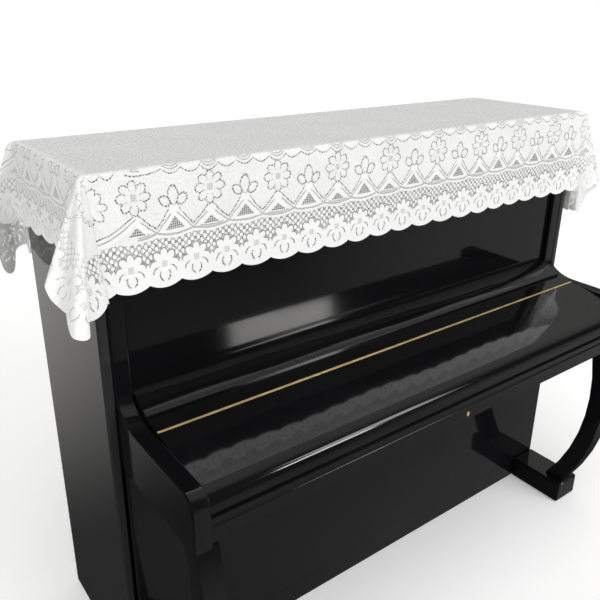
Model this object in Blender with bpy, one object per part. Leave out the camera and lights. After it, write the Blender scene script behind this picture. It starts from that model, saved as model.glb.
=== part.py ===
"""Lace top cover draped over a plain upright piano.

Metres, +Z up, +X along the keyboard, -Y towards the player.
The origin is on the floor, under the middle of the piano's lid.
"""
import math

import bmesh
import bpy
from mathutils import Vector
from mathutils.geometry import delaunay_2d_cdt

# Gap between two pieces that touch.
SEAT = 0.0003

# Piano case.
PIANO_HEIGHT = 1.22
LID_LENGTH = 1.50
LID_DEPTH = 0.406
LID_THICK = 0.025
LID_EDGE_RADIUS = 0.008
LID_LIP = 0.005
SIDE_THICK = 0.022
PANEL_THICK = 0.022
BACK_THICK = 0.030
BOTTOM_THICK = 0.060
CASE_FRONT = -0.190
PANEL_SET_BACK = 0.012
LOWER_PANEL_FRONT = -0.220
CHEEK_THICK = 0.038
CHEEK_BACK = -0.110
ARM_FRONT = -0.500
ARM_TOP = 0.722
CHEEK_HOLLOW_DEEP = 0.090
CHEEK_HOLLOW_HIGH = 0.050
ARM_NOSE_RADIUS = 0.028
KEY_BED_BOTTOM = 0.600
KEY_BED_THICK = 0.040
KEY_BED_FRONT = -0.487
KEY_BED_BACK = -0.060
KEY_SLIP_THICK = 0.020
KEY_SLIP_HEIGHT = 0.013
KEY_SLIP_SET_BACK = 0.002
LEDGE_TOP = 0.768
LEDGE_FRONT = -0.245
LEDGE_FRONT_TOP = 0.740
LEDGE_UNDERSIDE = 0.715
HINGE_Y = -0.290
HINGE_Z = 0.7265
HINGE_WIDTH = 0.006
HINGE_HEIGHT = 0.0015
HINGE_LENGTH = 1.366
FALLBOARD_THICK = 0.016
FALLBOARD_SLOPE = 8.5
FALLBOARD_NOSE = (-0.4438, 0.6690)
FALLBOARD_NOSE_RADIUS = 0.035
FALLBOARD_LIP = 0.654
TOE_FRONT = -0.400
TOE_HEIGHT = 0.070
TOE_INNER = 0.625
TOE_WIDTH = 0.100
LEG_INNER = 0.650
LEG_WIDTH = 0.050
LEG_THICK = 0.050
LEG_TOP = (-0.425, KEY_BED_BOTTOM - SEAT)
LEG_BELLY = (-0.455, 0.360)
LEG_FOOT = (-0.362, TOE_HEIGHT + SEAT)

# Lace cover: cut size, how far it hangs, and the hem's scallops.
COVER_LENGTH = 1.98
COVER_WIDTH = 0.90
COVER_THICK = 0.0015
BEND_RADIUS = 0.00875
BEND_INSET = 0.0055
FRONT_DROP = 0.2385
LEFT_DROP = 0.183
SCALLOPS_LONG = 28
SCALLOPS_SHORT = 13
SCALLOP_DEPTH = 0.010
SCALLOP_STEPS = 4
CORNER_ROUND = 0.028

# Net gaps above each notch of the hem: along the hem and in from it.
GAP_WIDTH = 0.0060
GAP_HEIGHT = 0.0080
NET_GAPS = [
    # along,  in from hem
    (-0.0090, 0.064),
    (0.0090, 0.064),
    (0.0000, 0.078),
]

# Each corner's fold, from the long side flap round to the end flap. A row is the
# level part of the cloth's unit direction there, along X and Y: 0 hangs straight down.
CORNER_FOLDS = {
    # corner (end, side): rows of (along X, along Y)
    (-1, -1): [
        (0.030, -0.030),
        (0.035, -0.180),
        (-0.171, -0.336),
        (-0.190, -0.445),
        (-0.280, -0.455),
        (-0.328, -0.262),
        (-0.445, -0.210),
        (-0.240, -0.060),
        (-0.030, 0.000),
    ],
    (1, -1): [
        (0.000, -0.030),
        (0.061, -0.012),
        (0.118, -0.054),
        (0.251, -0.076),
        (0.452, -0.010),
        (0.500, 0.040),
        (0.440, 0.110),
        (0.350, 0.135),
        (0.215, 0.080),
        (0.180, 0.240),
        (0.030, 0.000),
    ],
    (-1, 1): [
        (0.000, 0.030),
        (0.030, 0.230),
        (-0.036, 0.215),
        (-0.096, 0.010),
        (-0.280, -0.130),
        (-0.420, -0.240),
        (-0.220, -0.080),
        (-0.030, 0.000),
    ],
    (1, 1): [
        (0.000, 0.030),
        (0.010, 0.220),
        (0.090, 0.400),
        (0.215, 0.330),
        (0.185, 0.170),
        (0.320, 0.210),
        (0.410, 0.090),
        (0.220, 0.000),
        (0.030, 0.000),
    ],
}
FOLD_PUFF = 0.014
FOLD_SAMPLES = 96

# Points that carry the cover's shape: columns along the lid, rows down the
# flaps below the bend, and rings of points round each corner of the lid.
LONG_COLUMNS = 22
SHORT_COLUMNS = 6
FLAP_ROWS = (0.065, 0.120)
POINT_CLEARANCE = 0.0045
CORNER_RINGS = [
    # out from the lid's corner, rays of points round it
    (0.007, 3),
    (0.014, 5),
    (0.022, 7),
    (0.032, 10),
    (0.050, 14),
    (0.085, 19),
    (0.130, 19),
    (0.180, 19),
    (0.235, 19),
    (0.290, 19),
    (0.340, 19),
]

# Long soft waves of the hanging flaps, as lean.
FLAP_LEAN = 0.018
FLAP_FADE = 0.110
WAVE_LEAN = 0.016
WAVE_LENGTHS = {"front": 0.47, "back": 0.39, "left": 0.27, "right": 0.31}

EDGE_X = LID_LENGTH / 2 - BEND_INSET
EDGE_Y = LID_DEPTH / 2 - BEND_INSET
RIGHT_DROP = COVER_LENGTH - 2 * EDGE_X - LEFT_DROP
BACK_DROP = COVER_WIDTH - 2 * EDGE_Y - FRONT_DROP
COVER_Z = PIANO_HEIGHT + SEAT + COVER_THICK / 2
HEM_LEFT = -EDGE_X - LEFT_DROP
HEM_RIGHT = EDGE_X + RIGHT_DROP
HEM_FRONT = -EDGE_Y - FRONT_DROP
HEM_BACK = EDGE_Y + BACK_DROP
SIDE_OUTER = LID_LENGTH / 2 - LID_LIP
SIDE_INNER = SIDE_OUTER - SIDE_THICK
BETWEEN_SIDES = SIDE_INNER - SEAT
BETWEEN_CHEEKS = BETWEEN_SIDES - CHEEK_THICK - SEAT
CASE_TOP = PIANO_HEIGHT - LID_THICK - SEAT
CASE_BACK = LID_DEPTH / 2 - LID_LIP

BLACK_POLISH = ("black_polish", (0.012, 0.012, 0.014), 0.08, 0.0)
BRASS = ("brass", (0.78, 0.56, 0.24), 0.25, 1.0)
WHITE_LACE = ("white_lace", (0.90, 0.90, 0.88), 0.85, 0.0)


def material(spec):
    """One Principled material from its name, colour, roughness and metallic value."""
    name, color, roughness, metallic = spec
    found = bpy.data.materials.get(name)
    if found:
        return found
    made = bpy.data.materials.new(name)
    made.use_nodes = True
    shader = made.node_tree.nodes["Principled BSDF"]
    shader.inputs["Base Color"].default_value = (*color, 1.0)
    shader.inputs["Roughness"].default_value = roughness
    shader.inputs["Metallic"].default_value = metallic
    made.diffuse_color = (*color, 1.0)
    return made


def add_object(name, mesh, finish, location=(0.0, 0.0, 0.0)):
    """Put a mesh into the scene as one named sub-part."""
    piece = bpy.data.objects.new(name, mesh)
    piece.location = location
    mesh.materials.append(material(finish))
    bpy.context.scene.collection.objects.link(piece)
    return piece


def bevel_edges(piece, width, segments=2):
    """Round a piece's edges."""
    bevel = piece.modifiers.new("rounded edges", "BEVEL")
    bevel.width = width
    bevel.segments = segments
    bevel.limit_method = "ANGLE"
    bevel.angle_limit = math.radians(40)


def board(name, low, high, finish=BLACK_POLISH, rounding=0.0, segments=2):
    """A flat board between two opposite corners."""
    centre = (Vector(low) + Vector(high)) / 2
    size = Vector(high) - Vector(low)
    shape = bmesh.new()
    bmesh.ops.create_cube(shape, size=1.0)
    bmesh.ops.scale(shape, vec=size, verts=shape.verts)
    mesh = bpy.data.meshes.new(name)
    shape.to_mesh(mesh)
    shape.free()
    piece = add_object(name, mesh, finish, centre)
    if rounding > 0.0:
        bevel_edges(piece, rounding, segments)
    return piece


def extruded(name, outline, start_x, width, finish=BLACK_POLISH, rounding=0.0):
    """A piece with one outline in Y and Z, extruded along X."""
    shape = bmesh.new()
    corners = [shape.verts.new((0.0, y, z)) for y, z in outline]
    face = shape.faces.new(corners)
    pushed = bmesh.ops.extrude_face_region(shape, geom=[face])
    moved = [item for item in pushed["geom"] if isinstance(item, bmesh.types.BMVert)]
    bmesh.ops.translate(shape, vec=(width, 0.0, 0.0), verts=moved)
    bmesh.ops.recalc_face_normals(shape, faces=shape.faces)
    mesh = bpy.data.meshes.new(name)
    shape.to_mesh(mesh)
    shape.free()
    piece = add_object(name, mesh, finish, (start_x, 0.0, 0.0))
    if rounding > 0.0:
        bevel_edges(piece, rounding, 1)
    return piece


def arc(centre, radius, start_deg, end_deg, steps):
    """Points along an arc in the Y-Z plane, both ends included."""
    points = []
    for step in range(steps + 1):
        angle = math.radians(start_deg + (end_deg - start_deg) * step / steps)
        points.append((centre[0] + radius * math.cos(angle), centre[1] + radius * math.sin(angle)))
    return points


def circle_through(first, second, third):
    """Centre and radius of the circle through three points."""
    ax, ay = first
    bx, by = second
    cx, cy = third
    twice = 2 * (ax * (by - cy) + bx * (cy - ay) + cx * (ay - by))
    a2, b2, c2 = ax * ax + ay * ay, bx * bx + by * by, cx * cx + cy * cy
    x = (a2 * (by - cy) + b2 * (cy - ay) + c2 * (ay - by)) / twice
    y = (a2 * (cx - bx) + b2 * (ax - cx) + c2 * (bx - ax)) / twice
    return (x, y), math.hypot(ax - x, ay - y)


def cheek_outline():
    """The cheek's profile: stile beside the upper panel, hollow curve, and arm."""
    hollow_top = ARM_TOP + CHEEK_HOLLOW_HIGH
    nose = (ARM_FRONT + ARM_NOSE_RADIUS, ARM_TOP - ARM_NOSE_RADIUS)
    outline = [(CHEEK_BACK, KEY_BED_BOTTOM), (CHEEK_BACK, CASE_TOP), (CASE_FRONT, CASE_TOP)]
    for across, up in arc((-1.0, 0.0), 1.0, 0.0, -90.0, 8):
        outline.append((CASE_FRONT + across * CHEEK_HOLLOW_DEEP, hollow_top + up * CHEEK_HOLLOW_HIGH))
    outline += arc(nose, ARM_NOSE_RADIUS, 90.0, 180.0, 5)
    outline.append((ARM_FRONT, KEY_BED_BOTTOM))
    return outline


def ledge_outline():
    """The sloping ledge between the upper panel and the fallboard."""
    back = CASE_FRONT + PANEL_SET_BACK + PANEL_THICK
    return [
        (back, LEDGE_TOP),
        (CASE_FRONT, LEDGE_TOP),
        (LEDGE_FRONT, LEDGE_FRONT_TOP),
        (LEDGE_FRONT, LEDGE_UNDERSIDE),
        (back, LEDGE_UNDERSIDE),
    ]


def fallboard_outline():
    """The closed fallboard: a level land for the hinge, the long slope, and a round nose."""
    land_front = HINGE_Y - HINGE_WIDTH
    land_back = HINGE_Y + HINGE_WIDTH
    back = LEDGE_FRONT - SEAT
    slope_end = 90.0 + FALLBOARD_SLOPE
    inner_radius = FALLBOARD_NOSE_RADIUS - FALLBOARD_THICK
    outline = [(back, HINGE_Z + 0.006), (land_back, HINGE_Z), (land_front, HINGE_Z)]
    outline += arc(FALLBOARD_NOSE, FALLBOARD_NOSE_RADIUS, slope_end, 180.0, 8)
    outline.append((FALLBOARD_NOSE[0] - FALLBOARD_NOSE_RADIUS, FALLBOARD_LIP))
    outline.append((FALLBOARD_NOSE[0] - inner_radius, FALLBOARD_LIP))
    outline += arc(FALLBOARD_NOSE, inner_radius, 180.0, slope_end, 4)
    outline.append((land_front, HINGE_Z - FALLBOARD_THICK))
    outline.append((back, HINGE_Z - FALLBOARD_THICK))
    return outline


def leg_outline():
    """The leg's bow: two arcs half a leg either side of the middle arc."""
    centre, radius = circle_through(LEG_TOP, LEG_BELLY, LEG_FOOT)

    def point_at(height, offset):
        across = math.sqrt((radius + offset) ** 2 - (height - centre[1]) ** 2)
        return (centre[0] - across, height)

    steps = 8
    heights = [LEG_TOP[1] + (LEG_FOOT[1] - LEG_TOP[1]) * step / steps for step in range(steps + 1)]
    front = [point_at(height, LEG_THICK / 2) for height in heights]
    back = [point_at(height, -LEG_THICK / 2) for height in reversed(heights)]
    return front + back


def make_upper_case():
    """Lid, sides, cheeks with their arms, upper panel and back."""
    panel_front = CASE_FRONT + PANEL_SET_BACK
    half_lid = LID_LENGTH / 2
    board(
        "top_lid",
        (-half_lid, -LID_DEPTH / 2, PIANO_HEIGHT - LID_THICK),
        (half_lid, LID_DEPTH / 2, PIANO_HEIGHT),
        rounding=LID_EDGE_RADIUS,
        segments=3,
    )
    for label, side_x, cheek_x in (
        ("left", -SIDE_OUTER, -BETWEEN_SIDES),
        ("right", SIDE_INNER, BETWEEN_SIDES - CHEEK_THICK),
    ):
        board(
            "side_" + label,
            (side_x, CASE_FRONT, 0.0),
            (side_x + SIDE_THICK, CASE_BACK, CASE_TOP),
            rounding=0.003,
            segments=1,
        )
        extruded("cheek_" + label, cheek_outline(), cheek_x, CHEEK_THICK, rounding=0.003)
    board(
        "upper_panel",
        (-BETWEEN_CHEEKS, panel_front, LEDGE_TOP + SEAT),
        (BETWEEN_CHEEKS, panel_front + PANEL_THICK, CASE_TOP),
    )
    board(
        "back_board",
        (-BETWEEN_SIDES, CASE_BACK - BACK_THICK, 0.0),
        (BETWEEN_SIDES, CASE_BACK, CASE_TOP),
    )


def make_keyboard_case():
    """Ledge, closed fallboard with its hinge, key slip and key bed."""
    width = 2 * BETWEEN_CHEEKS
    extruded("ledge", ledge_outline(), -BETWEEN_CHEEKS, width)
    extruded("fallboard", fallboard_outline(), -BETWEEN_CHEEKS, width)
    board(
        "fallboard_hinge",
        (-HINGE_LENGTH / 2, HINGE_Y - HINGE_WIDTH / 2, HINGE_Z + SEAT),
        (HINGE_LENGTH / 2, HINGE_Y + HINGE_WIDTH / 2, HINGE_Z + SEAT + HINGE_HEIGHT),
        BRASS,
    )
    key_bed_top = KEY_BED_BOTTOM + KEY_BED_THICK
    board(
        "key_bed",
        (-BETWEEN_CHEEKS, KEY_BED_FRONT, KEY_BED_BOTTOM),
        (BETWEEN_CHEEKS, KEY_BED_BACK, key_bed_top),
        rounding=0.003,
        segments=1,
    )
    slip_front = KEY_BED_FRONT + KEY_SLIP_SET_BACK
    board(
        "key_slip",
        (-BETWEEN_CHEEKS, slip_front, key_bed_top + SEAT),
        (BETWEEN_CHEEKS, slip_front + KEY_SLIP_THICK, key_bed_top + SEAT + KEY_SLIP_HEIGHT),
    )


def make_lower_case():
    """Lower panel, bottom board, toe blocks and bowed legs."""
    board(
        "lower_panel",
        (-BETWEEN_SIDES, LOWER_PANEL_FRONT, BOTTOM_THICK + SEAT),
        (BETWEEN_SIDES, LOWER_PANEL_FRONT + PANEL_THICK, KEY_BED_BOTTOM - SEAT),
    )
    board(
        "bottom_board",
        (-BETWEEN_SIDES, LOWER_PANEL_FRONT, 0.0),
        (BETWEEN_SIDES, CASE_BACK - BACK_THICK - SEAT, BOTTOM_THICK),
    )
    for label, toe_x, leg_x in (
        ("left", -TOE_INNER - TOE_WIDTH, -LEG_INNER - LEG_WIDTH),
        ("right", TOE_INNER, LEG_INNER),
    ):
        board(
            "toe_" + label,
            (toe_x, TOE_FRONT, 0.0),
            (toe_x + TOE_WIDTH, LOWER_PANEL_FRONT - SEAT, TOE_HEIGHT),
            rounding=0.006,
            segments=1,
        )
        extruded("leg_" + label, leg_outline(), leg_x, LEG_WIDTH)


def spline_points(rows, samples):
    """A smooth curve through the rows, by Catmull-Rom, as 2-D vectors."""
    rows = [Vector(row) for row in rows]
    padded = [2 * rows[0] - rows[1]] + rows + [2 * rows[-1] - rows[-2]]
    spans = len(rows) - 1
    points = []
    for sample in range(samples + 1):
        place = spans * sample / samples
        span = min(int(place), spans - 1)
        t = place - span
        before, start, end, after = padded[span:span + 4]
        points.append(
            0.5
            * (
                2 * start
                + (end - before) * t
                + (2 * before - 5 * start + 4 * end - after) * t * t
                + (3 * start - before - 3 * end + after) * t ** 3
            )
        )
    return points


def lean_direction(lean):
    """Unit direction of hanging cloth whose level part is lean, along X and Y."""
    level = min(lean.length_squared, 0.96)
    return Vector((lean.x, lean.y, -math.sqrt(1.0 - level)))


def corner_fan(rows):
    """Directions round a corner's fold, spaced as the flat cloth's right angle is.

    The rows grow or shrink together until the fold uses up exactly 90 degrees
    of cloth, so that the cloth isn't stretched.
    """
    curve = spline_points(rows, FOLD_SAMPLES)
    small, large = 0.2, 1.8
    for _ in range(40):
        scale = (small + large) / 2
        fan = [lean_direction(point * scale) for point in curve]
        used = sum(fan[i].angle(fan[i + 1]) for i in range(FOLD_SAMPLES))
        if used < math.pi / 2:
            small = scale
        else:
            large = scale
    places = [0.0]
    for i in range(FOLD_SAMPLES):
        places.append(places[-1] + fan[i].angle(fan[i + 1]))
    return [place * (math.pi / 2) / places[-1] for place in places], fan


CORNER_FANS = {corner: corner_fan(rows) for corner, rows in CORNER_FOLDS.items()}


def fan_direction(corner, angle):
    """Direction of the cloth at a flat angle from the long side flap's edge."""
    places, fan = CORNER_FANS[corner]
    for i in range(FOLD_SAMPLES):
        if angle <= places[i + 1]:
            share = (angle - places[i]) / (places[i + 1] - places[i])
            return fan[i].lerp(fan[i + 1], max(share, 0.0)).normalized()
    return fan[-1].copy()


def flap_direction(side, along, outward, start_lean, end_lean, length):
    """Direction of a straight flap: its own lean and waves, meeting both corners' folds."""
    near_start = math.exp(-((along / FLAP_FADE) ** 2))
    near_end = math.exp(-(((length - along) / FLAP_FADE) ** 2))
    free = max(0.0, 1.0 - near_start - near_end)
    wave = WAVE_LEAN * math.sin(2 * math.pi * along / WAVE_LENGTHS[side] + 0.6)
    lean = outward * (FLAP_LEAN + wave) * free + start_lean * near_start + end_lean * near_end
    return lean_direction(lean)


def hanging(start, level, final, radius, distance):
    """A point on cloth that leaves start level, bends round a radius and hangs along final."""
    bend = level.angle(final)
    turned = (final - level * level.dot(final)).normalized()
    angle = min(distance / radius, bend)
    on_bend = start + radius * (math.sin(angle) * level + (1.0 - math.cos(angle)) * turned)
    return on_bend + max(0.0, distance - radius * bend) * final


def drape(u, v):
    """Where a point of the flat cloth lies on the piano. On top, u is X and v is Y."""
    level_u = min(max(u, -EDGE_X), EDGE_X)
    level_v = min(max(v, -EDGE_Y), EDGE_Y)
    out = Vector((u - level_u, v - level_v, 0.0))
    start = Vector((level_u, level_v, COVER_Z))
    if out.length < 1e-9:
        return start
    end_sign = 1 if u > 0 else -1
    side_sign = 1 if v > 0 else -1
    radius = BEND_RADIUS
    if abs(out.x) > 1e-9 and abs(out.y) > 1e-9:
        angle = math.atan2(abs(out.x), abs(out.y))
        final = fan_direction((end_sign, side_sign), angle)
        radius += FOLD_PUFF * math.sin(2 * angle) ** 2
    elif abs(out.y) > 1e-9:
        side = "back" if side_sign > 0 else "front"
        first = CORNER_FANS[(-1, side_sign)][1][0].xy
        last = CORNER_FANS[(1, side_sign)][1][0].xy
        outward = Vector((0.0, side_sign))
        final = flap_direction(side, u + EDGE_X, outward, first, last, 2 * EDGE_X)
    else:
        side = "right" if end_sign > 0 else "left"
        first = CORNER_FANS[(end_sign, -1)][1][-1].xy
        last = CORNER_FANS[(end_sign, 1)][1][-1].xy
        outward = Vector((end_sign, 0.0))
        final = flap_direction(side, v + EDGE_Y, outward, first, last, 2 * EDGE_Y)
    return hanging(start, out.normalized(), final, radius, out.length)


def hem_sides():
    """The four hems: start corner, direction along, direction inwards, length, scallops."""
    return [
        (Vector((HEM_LEFT, HEM_FRONT)), Vector((1, 0)), Vector((0, 1)), COVER_LENGTH, SCALLOPS_LONG),
        (Vector((HEM_RIGHT, HEM_FRONT)), Vector((0, 1)), Vector((-1, 0)), COVER_WIDTH, SCALLOPS_SHORT),
        (Vector((HEM_RIGHT, HEM_BACK)), Vector((-1, 0)), Vector((0, -1)), COVER_LENGTH, SCALLOPS_LONG),
        (Vector((HEM_LEFT, HEM_BACK)), Vector((0, -1)), Vector((1, 0)), COVER_WIDTH, SCALLOPS_SHORT),
    ]


def hem_outline():
    """The scalloped edge of the flat cloth, with a rounded lobe at each corner."""
    points = []
    for start, along, inward, length, scallops in hem_sides():
        pitch = length / scallops
        shoulder = (pitch + CORNER_ROUND) / 2
        round_centre = start + along * CORNER_ROUND + inward * CORNER_ROUND
        for turn in (22.5, 45.0, 67.5, 90.0):
            angle = math.radians(turn)
            reach = along * math.cos(angle) + inward * math.sin(angle)
            points.append(round_centre - reach * CORNER_ROUND)
        points.append(start + along * shoulder + inward * SCALLOP_DEPTH * 0.25)
        for scallop in range(1, scallops - 1):
            for step in range(SCALLOP_STEPS):
                place = pitch * (scallop + step / SCALLOP_STEPS)
                bulge = math.sin(math.pi * step / SCALLOP_STEPS) ** 0.8
                points.append(start + along * place + inward * SCALLOP_DEPTH * (1.0 - bulge))
        points.append(start + along * (length - pitch) + inward * SCALLOP_DEPTH)
        points.append(start + along * (length - shoulder) + inward * SCALLOP_DEPTH * 0.25)
        points.append(start + along * (length - CORNER_ROUND))
    return points


def net_gaps():
    """The large net gaps, as diamonds in the flat cloth, above every notch of the hem."""
    gaps = []
    for start, along, inward, length, scallops in hem_sides():
        pitch = length / scallops
        for notch in range(2, scallops - 1):
            for shift, height in NET_GAPS:
                centre = start + along * (pitch * notch + shift) + inward * height
                gaps.append(
                    [
                        centre - along * GAP_WIDTH / 2,
                        centre - inward * GAP_HEIGHT / 2,
                        centre + along * GAP_WIDTH / 2,
                        centre + inward * GAP_HEIGHT / 2,
                    ]
                )
    return gaps


def inside_polygon(point, polygon):
    """Whether a point is inside a polygon, by crossings."""
    inside = False
    for i, first in enumerate(polygon):
        second = polygon[i - 1]
        if (first.y > point.y) != (second.y > point.y):
            cross = (second.x - first.x) * (point.y - first.y) / (second.y - first.y) + first.x
            if point.x < cross:
                inside = not inside
    return inside


def flap_rows():
    """Distances out from the lid's edge where the flaps need a row of points."""
    quarter = BEND_RADIUS * math.pi / 2
    return [quarter / 3, 2 * quarter / 3, quarter, *FLAP_ROWS]


def shape_points():
    """Points inside the flat cloth that carry the bends, waves and corner folds."""
    points = []
    columns_x = [-EDGE_X + 2 * EDGE_X * i / LONG_COLUMNS for i in range(LONG_COLUMNS + 1)]
    columns_y = [-EDGE_Y + 2 * EDGE_Y * i / SHORT_COLUMNS for i in range(SHORT_COLUMNS + 1)]
    for out in [0.0] + flap_rows():
        for x in columns_x:
            points += [Vector((x, -EDGE_Y - out)), Vector((x, EDGE_Y + out))]
        for y in columns_y if out > 0.0 else columns_y[1:-1]:
            points += [Vector((-EDGE_X - out, y)), Vector((EDGE_X + out, y))]
    for end_sign in (-1, 1):
        for side_sign in (-1, 1):
            for out, rays in CORNER_RINGS:
                for ray in range(1, rays):
                    angle = math.pi / 2 * ray / rays
                    reach = Vector((end_sign * math.sin(angle), side_sign * math.cos(angle))) * out
                    points.append(Vector((end_sign * EDGE_X, side_sign * EDGE_Y)) + reach)
    return points


def keep_clear(points, fixed, clearance):
    """Drop the points that come closer than clearance to a fixed point."""
    cell = 0.03
    grid = {}
    for point in fixed:
        grid.setdefault((int(point.x // cell), int(point.y // cell)), []).append(point)
    kept = []
    for point in points:
        column, row = int(point.x // cell), int(point.y // cell)
        cells = [(column + i, row + j) for i in (-1, 0, 1) for j in (-1, 0, 1)]
        near = [other for place in cells for other in grid.get(place, [])]
        if all((point - other).length > clearance for other in near):
            kept.append(point)
            grid.setdefault((column, row), []).append(point)
    return kept


def flat_triangles():
    """The flat cloth as triangles, with the scalloped hem and the net gaps left out."""
    outline = hem_outline()
    gaps = net_gaps()
    fixed = outline + [corner for gap in gaps for corner in gap]
    edges = [(i, (i + 1) % len(outline)) for i in range(len(outline))]
    for gap_index in range(len(gaps)):
        first = len(outline) + 4 * gap_index
        edges += [(first + i, first + (i + 1) % 4) for i in range(4)]
    inner = [point for point in shape_points() if inside_polygon(point, outline)]
    inner = keep_clear(inner, fixed, POINT_CLEARANCE)
    inner = [point for point in inner if not any(inside_polygon(point, gap) for gap in gaps)]
    points = fixed + inner
    flat, _, faces, _, _, _ = delaunay_2d_cdt(points, edges, [], 1, 1e-6, False)
    triangles = []
    for face in faces:
        middle = sum((flat[i] for i in face), Vector((0.0, 0.0))) / 3
        if inside_polygon(middle, outline) and not in_any_gap(middle, gaps):
            triangles.append(tuple(face))
    return flat, triangles


def in_any_gap(point, gaps):
    """Whether a flat point lies in one of the net gaps."""
    reach = max(GAP_WIDTH, GAP_HEIGHT)
    for gap in gaps:
        if (point - gap[0]).length < reach * 1.5 and inside_polygon(point, gap):
            return True
    return False


def make_cover():
    """The lace cover as one thin closed sheet."""
    flat, triangles = flat_triangles()
    places = [drape(point.x, point.y) for point in flat]
    normals = [Vector() for _ in places]
    for a, b, c in triangles:
        area_normal = (places[b] - places[a]).cross(places[c] - places[a])
        for corner in (a, b, c):
            normals[corner] += area_normal
    sheet = bmesh.new()
    half = COVER_THICK / 2
    used = {corner for triangle in triangles for corner in triangle}
    outer, inner = {}, {}
    for corner in sorted(used):
        offset = normals[corner].normalized() * half
        outer[corner] = sheet.verts.new(places[corner] + offset)
        inner[corner] = sheet.verts.new(places[corner] - offset)
    borders = set()
    for a, b, c in triangles:
        sheet.faces.new((outer[a], outer[b], outer[c]))
        sheet.faces.new((inner[c], inner[b], inner[a]))
        for edge in ((a, b), (b, c), (c, a)):
            if (edge[1], edge[0]) in borders:
                borders.remove((edge[1], edge[0]))
            else:
                borders.add(edge)
    for a, b in sorted(borders):
        sheet.faces.new((outer[b], outer[a], inner[a], inner[b]))
    bmesh.ops.triangulate(sheet, faces=sheet.faces)
    mesh = bpy.data.meshes.new("lace_cover")
    sheet.to_mesh(mesh)
    sheet.free()
    mesh.shade_smooth()
    mesh.set_sharp_from_angle(angle=math.radians(35))
    add_object("lace_cover", mesh, WHITE_LACE)


def main():
    for old in list(bpy.data.objects):
        bpy.data.objects.remove(old, do_unlink=True)
    make_upper_case()
    make_keyboard_case()
    make_lower_case()
    make_cover()


main()
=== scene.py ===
"""Lace piano top cover on a plain upright piano: the visible looks."""
import math

import bmesh
import bpy
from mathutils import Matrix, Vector


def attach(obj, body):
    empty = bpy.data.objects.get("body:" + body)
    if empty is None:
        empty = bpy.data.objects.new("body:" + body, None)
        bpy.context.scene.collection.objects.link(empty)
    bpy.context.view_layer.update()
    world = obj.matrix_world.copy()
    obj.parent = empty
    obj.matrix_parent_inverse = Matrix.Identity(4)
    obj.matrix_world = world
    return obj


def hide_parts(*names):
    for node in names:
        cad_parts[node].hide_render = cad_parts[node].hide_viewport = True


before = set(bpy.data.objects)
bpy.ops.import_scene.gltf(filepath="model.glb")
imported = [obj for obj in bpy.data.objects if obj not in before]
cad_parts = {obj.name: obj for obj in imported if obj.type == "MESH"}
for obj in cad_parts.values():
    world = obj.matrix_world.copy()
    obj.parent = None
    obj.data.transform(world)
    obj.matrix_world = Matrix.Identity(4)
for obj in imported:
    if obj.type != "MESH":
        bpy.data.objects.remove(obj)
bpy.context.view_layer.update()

# ---------------------------------------------------------------- sizes (metres)
PIANO_HEIGHT = 1.22
SEAT = 0.0003
COVER_LENGTH, COVER_WIDTH = 1.98, 0.90
COVER_THICK = 0.0015
COVER_Z = PIANO_HEIGHT + SEAT + COVER_THICK / 2
EDGE_X, EDGE_Y = 0.7445, 0.1975         # the level part's half length and half width
BEND_RADIUS = 0.00875
FRONT_DROP, LEFT_DROP = 0.2385, 0.183
HEM_LEFT = -EDGE_X - LEFT_DROP
HEM_FRONT = -EDGE_Y - FRONT_DROP
SCALLOPS_LONG, SCALLOPS_SHORT = 28, 13
SCALLOP_DEPTH = 0.010
SCALLOP_POWER = 0.8
HEM_REACH = 0.045                       # how far in the mesh follows the scallops
CORNER_ROUND = 0.028
CELLS_A_SCALLOP = 14
FOLD_PUFF = 0.014                       # wider bend in the middle of a corner's fold
FOLD_SAMPLES = 96
FOLD_SCALES = (0.2, 1.8)                # bounds of the search for a corner's scale
FOLD_HALVINGS = 40
MOST_LEVEL = 0.96                       # square of the most level lean of the cloth
FLAP_LEAN = 0.018
FLAP_FADE = 0.110                       # reach of a corner's lean along a flap
WAVE_LEAN = 0.016
WAVE_START = 0.6
WAVE_LENGTHS = {"front": 0.47, "back": 0.39, "left": 0.27, "right": 0.31}
TINY = 1e-9

# Level part of the cloth's direction of hang round each corner of the lid,
# from the long side's flap to the end flap.
CORNER_FOLDS = {
    (-1, -1): ((0.030, -0.030), (0.035, -0.180), (-0.171, -0.336), (-0.190, -0.445),
        (-0.280, -0.455), (-0.328, -0.262), (-0.445, -0.210), (-0.240, -0.060),
        (-0.030, 0.000)),
    (1, -1): ((0.000, -0.030), (0.061, -0.012), (0.118, -0.054), (0.251, -0.076),
        (0.452, -0.010), (0.500, 0.040), (0.440, 0.110), (0.350, 0.135),
        (0.215, 0.080), (0.180, 0.240), (0.030, 0.000)),
    (-1, 1): ((0.000, 0.030), (0.030, 0.230), (-0.036, 0.215), (-0.096, 0.010),
        (-0.280, -0.130), (-0.420, -0.240), (-0.220, -0.080), (-0.030, 0.000)),
    (1, 1): ((0.000, 0.030), (0.010, 0.220), (0.090, 0.400), (0.215, 0.330),
        (0.185, 0.170), (0.320, 0.210), (0.410, 0.090), (0.220, 0.000),
        (0.030, 0.000)),
}


# ---------------------------------------------------------------- the drape
def spline_points(rows, samples):
    """Points of a smooth curve through the rows."""
    rows = [Vector(row) for row in rows]
    padded = [2 * rows[0] - rows[1]] + rows + [2 * rows[-1] - rows[-2]]
    spans = len(rows) - 1
    points = []
    for sample in range(samples + 1):
        place = spans * sample / samples
        span = min(int(place), spans - 1)
        t = place - span
        before, start, end, after = padded[span:span + 4]
        points.append(0.5 * (2 * start + (end - before) * t
            + (2 * before - 5 * start + 4 * end - after) * t * t
            + (3 * start - before - 3 * end + after) * t ** 3))
    return points


def lean_direction(lean):
    """The downward direction with this level part."""
    level = min(lean.length_squared, MOST_LEVEL)
    return Vector((lean.x, lean.y, -math.sqrt(1.0 - level)))


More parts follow.
